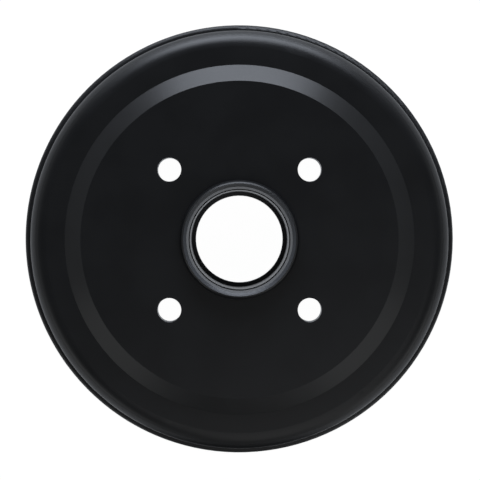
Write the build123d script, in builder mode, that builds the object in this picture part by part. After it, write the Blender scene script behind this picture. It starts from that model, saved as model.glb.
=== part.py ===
from build123d import *
from math import radians, tan
import os

# Brake drum and wheel hub, cast in one piece of grey iron and turned where it brakes, seats a
# bearing or meets the backing plate.  Millimetres.  The drum turns about Z: its open rim lies on
# Z = 0 and the wheel bolts to the face that looks along +Z.

# Friction ring
friction_diameter = 203.2
track_width = 38.0  # the turned track, from the open rim inwards
track_skim = 1.0  # iron turned away to make the track
track_end_bevel = 0.5
lead_in = 1.5  # chamfer that lets the drum slide over the shoes
ring_wall = 5.5  # outside the track, beside the shoulder
ring_draft = 3.0  # degrees, the ring's outside grows towards the rim

# Open rim
rim_overhang = 5.75  # flange outside the ring
rim_thickness = 8.0
rim_edge_radius = 2.2
rim_root_radius = 3.0
rim_break = 0.6  # chamfer on the rear edge
labyrinth_lip = 3.5  # left outside the groove that the backing plate's edge runs in
labyrinth_width = 3.5
labyrinth_depth = 3.0

# Web, from the shoulder to the wheel face
drum_depth = 52.6  # open rim to the outer land
shoulder_radius = 9.1
outer_land = 9.35
step_width = 8.55  # radial width of the cone between land and wheel face
step_height = 5.4
web_thickness = 8.5
step_inside_radius = 4.0
corner_inside_radius = 7.0

# Wheel bolting
bolt_circle = 100.0
bolt_count = 4
bolt_hole_diameter = 12.0
bolt_hole_break = 0.3
first_bolt_angle = 45.0

# Hub and its collar
bearing_diameter = 50.29
bearing_width = 35.0
circlip_groove_width = 2.15
circlip_groove_depth = 1.35
circlip_land = 1.35  # between the circlip's groove and the cap's seat
cap_ledge = 0.505  # step from the bearing's bore out to the cap's seat
cap_ledge_depth = 9.0  # below the collar's crest
cap_seat_width = 4.3
cap_lead_in = 0.95  # the seat's lead-in cone grows by this radius
mouth_width = 1.6  # from the lead-in out to the crest
mouth_depth = 1.0
mouth_radius = 9.0
collar_wall = 4.35
collar_height = 7.0  # above the wheel face
spigot_length = 3.4  # straight part of the collar that centres the wheel
spigot_lead_in = 0.7
nose_radius = 1.8
nose_depth = 1.2
hub_wall = 7.5  # outside the bearing, at the hub's inner end
hub_draft = 2.0  # degrees
hub_root_radius = 6.0
hub_break = 1.0  # chamfers at the hub's inner end
bearing_shoulder = 5.0  # thickness of the lip that stops the bearing
bearing_shoulder_height = 2.145  # from the bore in to the lip's opening
opening_break = 0.8

# Heights on the axis
land_height = drum_depth
face_height = land_height + step_height
collar_top = face_height + collar_height
mouth_foot_height = collar_top - mouth_depth
cap_ledge_height = collar_top - cap_ledge_depth
cap_seat_top = cap_ledge_height + cap_seat_width
groove_top = cap_ledge_height - circlip_land
bearing_top = groove_top - circlip_groove_width
bearing_floor = bearing_top - bearing_width
hub_end = bearing_floor - bearing_shoulder
web_inside = face_height - web_thickness
land_inside = land_height - web_thickness
shoulder_height = land_height - shoulder_radius

# Radii from the friction ring outwards
friction_radius = friction_diameter / 2
cast_radius = friction_radius - track_skim
ring_top_radius = friction_radius + ring_wall
ring_root_radius = ring_top_radius + (shoulder_height - rim_thickness) * tan(radians(ring_draft))
rim_radius = ring_root_radius + rim_overhang
labyrinth_radius = rim_radius - labyrinth_lip

# Radii of the web; its inside follows its outside at the web's thickness
land_radius = ring_top_radius - shoulder_radius
step_foot_radius = land_radius - outer_land
step_top_radius = step_foot_radius - step_width
step_slope = Vector(step_width, step_height).get_angle(Vector(1, 0))
step_inset = web_thickness * tan(radians(step_slope / 2))

# Radii of the hub
bearing_radius = bearing_diameter / 2
cap_seat_radius = bearing_radius + cap_ledge
collar_radius = cap_seat_radius + collar_wall
mouth_foot_radius = cap_seat_radius + cap_lead_in
crest_radius = mouth_foot_radius + mouth_width
circlip_radius = bearing_radius + circlip_groove_depth
opening_radius = bearing_radius - bearing_shoulder_height
hub_end_radius = bearing_radius + hub_wall
hub_web_radius = hub_end_radius + (web_inside - hub_end) * tan(radians(hub_draft))


def round_corners(section, radius, *corners):
    """Round the section's corners at the given (radius, height) points."""
    fillet([section.vertices().sort_by_distance(corner)[0] for corner in corners], radius)


def bevel_corners(section, length, *corners):
    """Bevel the section's corners at the given (radius, height) points."""
    chamfer([section.vertices().sort_by_distance(corner)[0] for corner in corners], length)


with BuildPart() as brake_drum:
    # The casting's half section, from the hub's inner end along the inside to the open rim and
    # back over the outside to the collar.
    hub_foot = (hub_end_radius, hub_end)
    hub_root = (hub_web_radius, web_inside)
    step_top_inside = (step_top_radius - step_inset, web_inside)
    step_foot_inside = (step_foot_radius - step_inset, land_inside)
    corner_inside = (cast_radius, land_inside)
    rim_rear = (rim_radius, 0)
    rim_front = (rim_radius, rim_thickness)
    rim_root = (ring_root_radius, rim_thickness)
    shoulder_foot = (ring_top_radius, shoulder_height)
    shoulder_top = (land_radius, land_height)
    step_foot = (step_foot_radius, land_height)
    step_top = (step_top_radius, face_height)
    collar_root = (collar_radius, face_height)
    spigot_top = (collar_radius, face_height + spigot_length)
    nose_foot = (collar_radius - spigot_lead_in, collar_top - nose_depth)
    crest = (crest_radius, collar_top)
    with BuildSketch(Plane.XZ) as casting:
        with BuildLine():
            Polyline(
                (0, collar_top),
                (0, hub_end),
                hub_foot,
                hub_root,
                step_top_inside,
                step_foot_inside,
                corner_inside,
                (cast_radius, 0),
                rim_rear,
                rim_front,
                rim_root,
                shoulder_foot,
            )
            RadiusArc(shoulder_foot, shoulder_top, -shoulder_radius)
            Polyline(
                shoulder_top,
                step_foot,
                step_top,
                collar_root,
                spigot_top,
                nose_foot,
            )
            RadiusArc(nose_foot, crest, -nose_radius)
            Line(crest, (0, collar_top))
        make_face()
        round_corners(casting, hub_root_radius, hub_root)
        round_corners(casting, step_inside_radius, step_top_inside, step_foot_inside)
        round_corners(casting, corner_inside_radius, corner_inside)
        round_corners(casting, rim_root_radius, rim_root)
        round_corners(casting, rim_edge_radius, rim_front)
        bevel_corners(casting, rim_break, rim_rear)
        bevel_corners(casting, hub_break, hub_foot)
    revolve(axis=Axis.Z)

    # Friction track, turned into the ring from its open end, with the lead-in for the shoes
    track_start = cast_radius - corner_inside_radius
    track_end = (friction_radius, track_width)
    with BuildSketch(Plane.XZ) as track:
        with BuildLine():
            Polyline(
                (track_start, 0),
                (friction_radius + lead_in, 0),
                (friction_radius, lead_in),
                track_end,
                (track_start, track_width),
                close=True,
            )
        make_face()
        bevel_corners(track, track_end_bevel, track_end)
    revolve(axis=Axis.Z, mode=Mode.SUBTRACT)

    # Labyrinth groove in the rim's rear face
    with BuildSketch():
        Circle(labyrinth_radius)
        Circle(labyrinth_radius - labyrinth_width, mode=Mode.SUBTRACT)
    extrude(amount=labyrinth_depth, mode=Mode.SUBTRACT)

    # Hub bore: the lip's opening, the bearing's seat, the circlip's groove, the cap's seat with
    # its lead-in and the crowned mouth
    mouth_foot = (mouth_foot_radius, mouth_foot_height)
    with BuildSketch(Plane.XZ):
        with BuildLine():
            Polyline(
                crest,
                (0, collar_top),
                (0, hub_end),
                (opening_radius + opening_break, hub_end),
                (opening_radius, hub_end + opening_break),
                (opening_radius, bearing_floor),
                (bearing_radius, bearing_floor),
                (bearing_radius, bearing_top),
                (circlip_radius, bearing_top),
                (circlip_radius, groove_top),
                (bearing_radius, groove_top),
                (bearing_radius, cap_ledge_height),
                (cap_seat_radius, cap_ledge_height),
                (cap_seat_radius, cap_seat_top),
                mouth_foot,
            )
            RadiusArc(mouth_foot, crest, mouth_radius)
        make_face()
    revolve(axis=Axis.Z, mode=Mode.SUBTRACT)

    # Wheel bolt holes, their front edges just broken
    with Locations(Plane.XY.offset(face_height)):
        with PolarLocations(bolt_circle / 2, bolt_count, start_angle=first_bolt_angle):
            CounterSinkHole(
                radius=bolt_hole_diameter / 2,
                counter_sink_radius=bolt_hole_diameter / 2 + bolt_hole_break,
                counter_sink_angle=90,
            )

brake_drum.part.label = "brake_drum"
os.makedirs("parts", exist_ok=True)
export_step(brake_drum.part, "parts/brake_drum.step")
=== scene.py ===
from math import cos, pi, radians, sin

import bpy
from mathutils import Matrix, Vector


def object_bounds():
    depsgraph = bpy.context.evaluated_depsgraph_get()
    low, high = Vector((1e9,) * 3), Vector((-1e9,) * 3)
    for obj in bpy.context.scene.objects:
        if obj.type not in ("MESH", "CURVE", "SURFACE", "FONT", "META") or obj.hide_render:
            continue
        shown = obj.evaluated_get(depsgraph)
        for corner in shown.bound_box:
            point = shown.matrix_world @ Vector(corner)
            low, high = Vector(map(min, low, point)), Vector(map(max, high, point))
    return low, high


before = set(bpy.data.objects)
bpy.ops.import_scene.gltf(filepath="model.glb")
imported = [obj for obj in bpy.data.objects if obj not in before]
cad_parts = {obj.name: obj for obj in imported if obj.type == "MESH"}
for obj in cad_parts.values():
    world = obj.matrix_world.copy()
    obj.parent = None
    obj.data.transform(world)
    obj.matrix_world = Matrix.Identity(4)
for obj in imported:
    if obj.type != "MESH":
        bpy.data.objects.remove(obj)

# The drum lies on its open rim on a pale floor, the wheel face up, and the camera looks down its axis.
# Lengths are in metres, in the part's own frame: Z is the drum's axis and the floor is at Z = 0.

cad_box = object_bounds()
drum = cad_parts["brake_drum"]
top = cad_box[1].z

# Camera
CAMERA_DISTANCE = 0.770  # from the collar's front
CAMERA_SIDE = -0.0023  # of the camera from the axis, along X
CAMERA_RISE = 0.0074  # and along Y
SCALE_AT_FRONT = 2005.0  # picture points to the metre, in the plane of the collar's front
WHEEL_FACE = 0.058  # height of the face that the wheel bolts to
AXIS_RIGHT = -0.5  # picture points from the picture's middle to where the axis meets the wheel face
AXIS_UP = 0.25
PICTURE_WIDTH = 480
SENSOR_WIDTH = 36.0  # millimetres

# Floor
FLOOR_SIZE = 6
FLOOR_GAP = 0.0001  # the rim stands just clear of the floor
FLOOR_PAPER = 0.8  # colour by which the floor gives light back to the drum
SEEN_GLOW = 0.985  # the white that the camera sees
SEEN_PAPER = 0.08  # colour added to it, which keeps the drum's shadow
REFLECTED_FLOOR = 0.8  # radiance of the floor in the drum's reflections
REFLECTED_TINT = (0.9, 0.94, 1, 1)
PAINTED_SHADOW_HALF_WIDTH = 0.06  # painted shadow: a dark strip of floor in front of the drum, seen only in its reflections
PAINTED_SHADOW_START = -0.128
PAINTED_SHADOW_FADE = 0.04

# Room
ROOM_TINT = (0.95, 0.98, 1, 1)
ROOM = 0.13  # radiance of the dim room overhead
GLOW = 0.6  # added to it at the horizon
GLOW_TOP = 0.6  # sine of the elevation where the glow ends
NEAR_SIDE = (-0.99, -0.86)  # along Y, the glow fades out between these on the near side

# Lamps: name, azimuth, polar, distance, width, height, radiance, colour
LAMPS = (
    ("key", 0, 72, 0.9, 0.8, 0.66, 6.6, (0.83, 0.89, 1)),
    ("fill_right", 130, 88, 0.9, 0.6, 0.8, 0.58, (1, 1, 1)),
    ("fill_left", 230, 88, 0.9, 0.6, 0.8, 0.58, (1, 1, 1)),
    ("fill_low", 162, 38, 0.9, 0.7, 0.9, 0.66, (1, 1, 1)),
)

# Where the drum's surfaces change
RING_RADIUS = 0.1064  # the ring's cast outside starts below the shoulder
INSIDE_TOP = 0.051  # the web's cast inside is below this height
BORE_RADIUS = 0.0275  # the hub's turned bore is within this radius
CAST_FADE = 0.0005
TRACK_RADII = (0.1009, 0.1032)
TRACK_HEIGHTS = (0.0, 0.0384)
MOUTH_RADII = (0.0255, 0.0282)  # painted light: the coat's colour is lighter on the collar's turned mouth
MOUTH_START = (0.0595, 0.0605)  # heights between which the painted light sets in
LIP_RADIUS = 0.0257  # and painted light on the lip at the inner end of the bearing's seat
LIP_START = (0.0185, 0.0178)
COAT_FADE = 0.0001

# Grain of the surfaces, in waves to the metre
TOOL_MARKS = 2600
SAND_GRAIN = 700
ORANGE_PEEL = 900
CLOUDS = 45
GRAPHITE = 1800

# Coat and bare iron
COAT_DARK = (0.0050, 0.0053, 0.0062, 1)
COAT_LIGHT = (0.0064, 0.0068, 0.0078, 1)
# Painted light: the lighter colour given to the collar's mouth and the lip deep in the bore
COAT_PAINTED_LIGHT = (0.052, 0.055, 0.061, 1)
COAT_ROUGHNESS = 0.355
COAT_IOR = 1.4
COAT_RELIEF = 0.00012
IRON = (0.46, 0.45, 0.44, 1)
IRON_GRAPHITE = (0.24, 0.235, 0.23, 1)
IRON_METALLIC = 0.6
IRON_ROUGHNESS = 0.32
IRON_RELIEF = 0.00001


def add_camera():
    """A camera beside the drum's axis that looks straight down, its picture shifted back onto the drum."""
    focal_points = CAMERA_DISTANCE * SCALE_AT_FRONT
    face_scale = focal_points / (top + CAMERA_DISTANCE - WHEEL_FACE)
    data = bpy.data.cameras.new("camera")
    data.sensor_width = SENSOR_WIDTH
    data.lens = SENSOR_WIDTH * focal_points / PICTURE_WIDTH
    data.shift_x = (-CAMERA_SIDE * face_scale - AXIS_RIGHT) / PICTURE_WIDTH
    data.shift_y = (-CAMERA_RISE * face_scale - AXIS_UP) / PICTURE_WIDTH
    camera = bpy.data.objects.new("camera", data)
    bpy.context.scene.collection.objects.link(camera)
    camera.location = (CAMERA_SIDE, CAMERA_RISE, top + CAMERA_DISTANCE)
    bpy.context.scene.camera = camera


def grey(level):
    return level, level, level, 1


class Nodes:
    """A material's or the world's node tree, with short calls to add and link its nodes."""

    def __init__(self, owner):
        owner.use_nodes = True
        self.tree = owner.node_tree
        self.tree.nodes.clear()

    def add(self, kind, settings=None, **inputs):
        """Add a node. An input takes a number, a colour or another node's output socket.

        It is named as in Blender, with _ for a space, or by its place, as in _0.
        """
        node = self.tree.nodes.new(kind)
        for name, value in (settings or {}).items():
            setattr(node, name, value)
        for name, value in inputs.items():
            socket = node.inputs[int(name[1:]) if name[1:].isdigit() else name.replace("_", " ")]
            if isinstance(value, bpy.types.NodeSocket):
                self.tree.links.new(value, socket)
            else:
                socket.default_value = value
        return node

    def math(self, operation, *values):
        inputs = {f"_{i}": value for i, value in enumerate(values)}
        return self.add("ShaderNodeMath", {"operation": operation}, **inputs).outputs[0]

    def smooth(self, value, start, end, low=0.0, high=1.0):
        """A soft step from low, where the value is at start, to high at end."""
        settings = {"interpolation_type": "SMOOTHSTEP"}
        node = self.add("ShaderNodeMapRange", settings, _0=value, _1=start, _2=end, _3=low, _4=high)
        return node.outputs[0]

    def mix_colors(self, share, first, second):
        return self.add("ShaderNodeMix", {"data_type": "RGBA"}, _0=share, _6=first, _7=second).outputs[2]

    def mix_shaders(self, share, first, second):
        return self.add("ShaderNodeMixShader", _0=share, _1=first, _2=second).outputs[0]

    def coordinates(self):
        """The place on the object, and the same as x, y and z."""
        place = self.add("ShaderNodeTexCoord").outputs["Object"]
        return place, *self.add("ShaderNodeSeparateXYZ", _0=place).outputs


def add_floor():
    """A pale floor that the camera and the drum's reflections see as white, and that is clear from below.

    A strip in front of the drum is dark in its reflections only: a painted shadow on the near side, with no
    flag there.
    """
    bpy.ops.mesh.primitive_plane_add(size=FLOOR_SIZE, location=(0, 0, -FLOOR_GAP))
    floor = bpy.context.object
    floor.name = "floor"
    material = bpy.data.materials.new("pale_floor")
    nodes = Nodes(material)
    path = nodes.add("ShaderNodeLightPath").outputs
    _, x, y, _ = nodes.coordinates()

    # Painted shadow: a strip of floor in front of the drum is darker in the drum's reflections only
    beside = nodes.smooth(nodes.math("ABSOLUTE", x), PAINTED_SHADOW_HALF_WIDTH + PAINTED_SHADOW_FADE, PAINTED_SHADOW_HALF_WIDTH)
    in_front = nodes.smooth(y, PAINTED_SHADOW_START + PAINTED_SHADOW_FADE / 2, PAINTED_SHADOW_START - PAINTED_SHADOW_FADE / 2)
    painted_shadow = nodes.math("MULTIPLY", beside, in_front)
    glow = nodes.smooth(painted_shadow, 0, 1, REFLECTED_FLOOR, 0.0)
    mirrored = nodes.add("ShaderNodeEmission", Color=REFLECTED_TINT, Strength=glow).outputs[0]
    paper = nodes.add("ShaderNodeBsdfDiffuse", Color=grey(FLOOR_PAPER)).outputs[0]
    glint = nodes.math("MAXIMUM", path["Is Glossy Ray"], path["Is Transmission Ray"])
    lit = nodes.mix_shaders(glint, paper, mirrored)

    shadowed = nodes.add("ShaderNodeBsdfDiffuse", Color=grey(SEEN_PAPER)).outputs[0]
    white = nodes.add("ShaderNodeEmission", Color=grey(1), Strength=SEEN_GLOW).outputs[0]
    backdrop = nodes.add("ShaderNodeAddShader", _0=shadowed, _1=white).outputs[0]
    seen = nodes.mix_shaders(path["Is Camera Ray"], lit, backdrop)

    underside = nodes.add("ShaderNodeNewGeometry").outputs["Backfacing"]
    clear = nodes.add("ShaderNodeBsdfTransparent").outputs[0]
    nodes.add("ShaderNodeOutputMaterial", Surface=nodes.mix_shaders(underside, seen, clear))
    floor.data.materials.append(material)


def add_softbox(name, azimuth, polar, distance, width, height, radiance, color):
    """A rectangular lamp that shines at the drum; radiance is what a mirror shows of it.

    azimuth is clockwise from +Y as the camera sees it, and polar is from the drum's axis, in degrees.
    """
    data = bpy.data.lights.new(name, "AREA")
    data.shape = "RECTANGLE"
    data.size = width
    data.size_y = height
    data.color = color
    data.energy = radiance * width * height * pi
    lamp = bpy.data.objects.new(name, data)
    bpy.context.scene.collection.objects.link(lamp)
    centre = Vector((0, 0, top / 2))
    around, down = radians(azimuth), radians(polar)
    direction = Vector((sin(around) * sin(down), cos(around) * sin(down), cos(down)))
    lamp.location = centre + direction * distance
    lamp.rotation_mode = "QUATERNION"
    lamp.rotation_quaternion = (centre - lamp.location).to_track_quat("-Z", "Y")


def add_world():
    """A room that is dim overhead and on the near side, and pale around the horizon elsewhere."""
    world = bpy.data.worlds.new("studio")
    bpy.context.scene.world = world
    nodes = Nodes(world)
    camera_ray = nodes.add("ShaderNodeLightPath").outputs["Is Camera Ray"]
    towards = nodes.add("ShaderNodeSeparateXYZ", _0=nodes.add("ShaderNodeTexCoord").outputs["Generated"])
    low = nodes.smooth(towards.outputs["Z"], GLOW_TOP, 0.0)
    open_side = nodes.smooth(towards.outputs["Y"], *NEAR_SIDE)
    glow = nodes.math("MULTIPLY", low, open_side)
    strength = nodes.math("MULTIPLY_ADD", glow, GLOW, ROOM)
    room = nodes.add("ShaderNodeBackground", Color=ROOM_TINT, Strength=strength).outputs[0]
    white = nodes.add("ShaderNodeBackground", Color=grey(1), Strength=1.0).outputs[0]
    nodes.add("ShaderNodeOutputWorld", Surface=nodes.mix_shaders(camera_ray, room, white))


def between(nodes, value, low, high, fade):
    """A mask that is 1 where value lies between low and high, with soft ends of width fade outside them."""
    rise = nodes.smooth(value, low - fade, low)
    fall = nodes.smooth(value, high, high + fade, 1.0, 0.0)
    return nodes.math("MULTIPLY", rise, fall)


def noise(nodes, scale, detail=2.0, **inputs):
    settings = {"noise_dimensions": "1D" if "W" in inputs else "3D"}
    return nodes.add("ShaderNodeTexNoise", settings, Scale=scale, Detail=detail, **inputs).outputs[0]


def bump(nodes, height, distance):
    return nodes.add("ShaderNodeBump", Strength=1.0, Distance=distance, Height=height).outputs[0]


def drum_finish():
    """Satin black dip coat over cast and turned iron, and bare turned iron on the friction track."""
    material = bpy.data.materials.new("coated_iron")
    nodes = Nodes(material)
    place, x, y, z = nodes.coordinates()
    radius = nodes.math("SQRT", nodes.math("ADD", nodes.math("MULTIPLY", x, x), nodes.math("MULTIPLY", y, y)))

    # Where the sand left its mark, where light is painted into the coat's colour and where there is no coat
    ring_cast = nodes.smooth(radius, RING_RADIUS - CAST_FADE, RING_RADIUS + CAST_FADE)
    below_web = nodes.smooth(z, INSIDE_TOP, INSIDE_TOP - CAST_FADE)
    outside_bore = nodes.smooth(radius, BORE_RADIUS, BORE_RADIUS + CAST_FADE)
    cast = nodes.math("MAXIMUM", ring_cast, nodes.math("MULTIPLY", below_web, outside_bore))
    track = nodes.math(
        "MULTIPLY",
        between(nodes, radius, *TRACK_RADII, COAT_FADE),
        between(nodes, z, *TRACK_HEIGHTS, COAT_FADE),
    )
    # Painted light: a lighter coat colour on the collar's mouth and on the lip deep in the bore stands in for
    # light that reaches them
    mouth = nodes.math(
        "MULTIPLY", between(nodes, radius, *MOUTH_RADII, COAT_FADE), nodes.smooth(z, *MOUTH_START)
    )
    within_lip = nodes.smooth(radius, LIP_RADIUS + 2 * COAT_FADE, LIP_RADIUS)
    lip = nodes.math("MULTIPLY", within_lip, nodes.smooth(z, *LIP_START))
    painted_light = nodes.math("MAXIMUM", mouth, lip)

    # Turning marks run around the axis, so they change only with radius and height
    tool_marks = noise(nodes, TOOL_MARKS, 3.0, W=nodes.math("ADD", radius, z))
    sand = noise(nodes, SAND_GRAIN, 4.0, Vector=place)
    peel = noise(nodes, ORANGE_PEEL, 1.0, Vector=place)
    clouds = noise(nodes, CLOUDS, 3.0, Vector=place)

    turned = nodes.math("SUBTRACT", 1.0, cast)
    relief = nodes.math("MULTIPLY", sand, cast)
    relief = nodes.math("MULTIPLY_ADD", nodes.math("MULTIPLY", tool_marks, turned), 0.08, relief)
    relief = nodes.math("MULTIPLY_ADD", peel, 0.1, relief)
    coat_tone = nodes.mix_colors(nodes.smooth(clouds, 0.35, 0.65), COAT_DARK, COAT_LIGHT)
    # Painted light on the mouth and the lip
    coat_tone = nodes.mix_colors(painted_light, coat_tone, COAT_PAINTED_LIGHT)
    coat_gloss = nodes.math("MULTIPLY_ADD", nodes.math("SUBTRACT", clouds, 0.5), 0.08, COAT_ROUGHNESS)
    coat_gloss = nodes.math("MULTIPLY_ADD", cast, 0.1, coat_gloss)
    coat = nodes.add(
        "ShaderNodeBsdfPrincipled",
        Base_Color=coat_tone,
        Roughness=coat_gloss,
        IOR=COAT_IOR,
        Normal=bump(nodes, relief, COAT_RELIEF),
    ).outputs[0]

    # The track: silver-grey turned iron with graphite flecks
    flecks = nodes.smooth(noise(nodes, GRAPHITE, 2.0, Vector=place), 0.55, 0.75)
    iron = nodes.add(
        "ShaderNodeBsdfPrincipled",
        Base_Color=nodes.mix_colors(flecks, IRON, IRON_GRAPHITE),
        Metallic=IRON_METALLIC,
        Roughness=nodes.math("MULTIPLY_ADD", tool_marks, 0.2, IRON_ROUGHNESS),
        Normal=bump(nodes, tool_marks, IRON_RELIEF),
    ).outputs[0]

    nodes.add("ShaderNodeOutputMaterial", Surface=nodes.mix_shaders(track, coat, iron))
    return material


add_camera()
add_floor()
add_world()
for lamp in LAMPS:
    add_softbox(*lamp)
drum.material_slots[0].material = drum_finish()

scene = bpy.context.scene
scene.view_settings.view_transform = "Standard"
